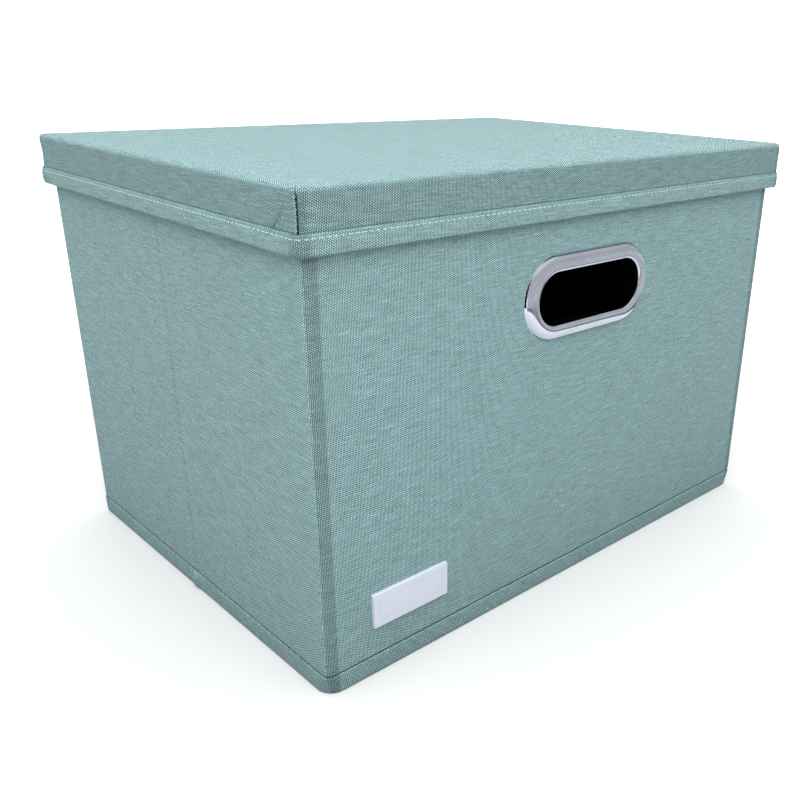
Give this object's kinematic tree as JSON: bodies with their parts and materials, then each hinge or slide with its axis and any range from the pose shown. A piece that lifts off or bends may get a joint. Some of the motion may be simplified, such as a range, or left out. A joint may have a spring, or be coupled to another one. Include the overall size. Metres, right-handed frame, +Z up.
{
  "type": "collapsible file box with lid",
  "caption": "Cloth-covered box for files with a lift-off lid, chrome-rimmed hand holes in its long walls and creased ends that fold in so that it lies flat.",
  "frame": {"origin": "middle of the footprint, on the surface that the box stands on", "axes": "+X along the front face, the front with the name plate faces -Y, +Z up"},
  "size_m": [0.3898, 0.2898, 0.259],
  "materials": {
    "linen": "grey-green linen weave",
    "linen_tape": "woven binding tape in the colour of the cover",
    "black_lining": "black non-woven cloth",
    "grey_board": "plain grey board",
    "chrome": "bright plated",
    "plate": "white, bevelled, bare"
  },
  "bodies": {
    "front_wall": {"front_board": "grey_board", "front_cover": "linen", "front_lining": "black_lining", "front_foot_tape": "linen_tape", "front_rim_tape": "linen_tape", "front_handle_rim": "chrome", "front_handle_ring": "chrome", "name_plate": "plate", "base_cloth": "linen", "base_card": "grey_board", "base_lining": "black_lining"},
    "back_wall": {"back_board": "grey_board", "back_cover": "linen", "back_lining": "black_lining", "back_foot_tape": "linen_tape", "back_rim_tape": "linen_tape", "back_handle_rim": "chrome", "back_handle_ring": "chrome"},
    "left_front_leaf": {"left_front_board": "grey_board", "left_front_cover": "linen", "left_front_lining": "black_lining", "left_front_foot_tape": "linen_tape", "left_front_rim_tape": "linen_tape"},
    "left_rear_leaf": {"left_rear_board": "grey_board", "left_rear_cover": "linen", "left_rear_lining": "black_lining", "left_rear_foot_tape": "linen_tape", "left_rear_rim_tape": "linen_tape"},
    "right_front_leaf": {"right_front_board": "grey_board", "right_front_cover": "linen", "right_front_lining": "black_lining", "right_front_foot_tape": "linen_tape", "right_front_rim_tape": "linen_tape"},
    "right_rear_leaf": {"right_rear_board": "grey_board", "right_rear_cover": "linen", "right_rear_lining": "black_lining", "right_rear_foot_tape": "linen_tape", "right_rear_rim_tape": "linen_tape"},
    "lid": {"lid_top_board": "grey_board", "lid_front_board": "grey_board", "lid_back_board": "grey_board", "lid_left_board": "grey_board", "lid_right_board": "grey_board", "lid_cover": "linen", "lid_lining": "black_lining", "lid_hem_tape": "linen_tape"}
  },
  "joints": [
    {"name": "lid_lift", "type": "slide", "parent": "front_wall", "child": "lid", "axis": [0, 0, 1], "range_m": [0, 0.3]},
    {"name": "left_front_fold", "type": "hinge", "parent": "front_wall", "child": "left_front_leaf", "pos_m": [-0.1852, -0.1352, 0.12775], "axis": [0, 0, -1], "range_deg": [0, 86], "deforming": ["base_cloth", "base_card", "base_lining"]},
    {"name": "left_crease_fold", "type": "hinge", "parent": "left_front_leaf", "child": "left_rear_leaf", "pos_m": [-0.1909, 0, 0.12775], "axis": [0, 0, 1], "range_deg": [0, 172]},
    {"name": "left_back_fold", "type": "hinge", "parent": "left_rear_leaf", "child": "back_wall", "pos_m": [-0.1852, 0.1352, 0.12775], "axis": [0, 0, -1], "range_deg": [0, 86]},
    {"name": "right_front_fold", "type": "hinge", "parent": "front_wall", "child": "right_front_leaf", "pos_m": [0.1852, -0.1352, 0.12775], "axis": [0, 0, 1], "range_deg": [0, 86]},
    {"name": "right_crease_fold", "type": "hinge", "parent": "right_front_leaf", "child": "right_rear_leaf", "pos_m": [0.1909, 0, 0.12775], "axis": [0, 0, -1], "range_deg": [0, 172]}
  ],
  "couplings": [
    {"joint": "left_crease_fold", "follows": "left_front_fold", "ratio": 2},
    {"joint": "left_back_fold", "follows": "left_front_fold", "ratio": 1},
    {"joint": "right_front_fold", "follows": "left_front_fold", "ratio": 1},
    {"joint": "right_crease_fold", "follows": "left_front_fold", "ratio": 2}
  ]
}
